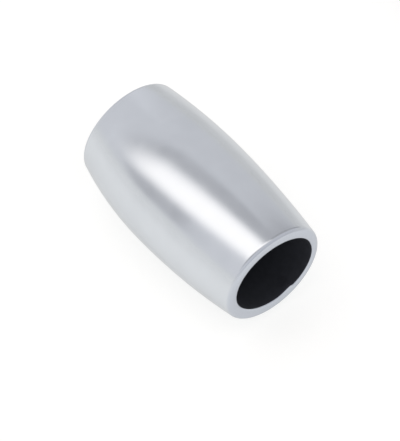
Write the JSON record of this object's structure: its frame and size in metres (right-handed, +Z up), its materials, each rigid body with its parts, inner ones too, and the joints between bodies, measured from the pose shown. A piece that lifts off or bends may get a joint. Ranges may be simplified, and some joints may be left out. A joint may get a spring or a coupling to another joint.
{
  "type": "cord end cap",
  "caption": "Barrel-shaped metal end cap for a garment cord: the cord runs in through the far end and its knot sits in the open bore.",
  "frame": {"origin": "the point under the middle of the barrel, on the surface that the cap lies on", "axes": "+X along the barrel's axis, out of its open mouth; +Z up, away from the surface it lies on"},
  "size_m": [0.015, 0.0088, 0.0087],
  "materials": {
    "satin_silver": "satin silver plating over a zinc alloy casting, bore left dark"
  },
  "bodies": {
    "root": {"barrel": "satin_silver"}
  },
  "joints": []
}
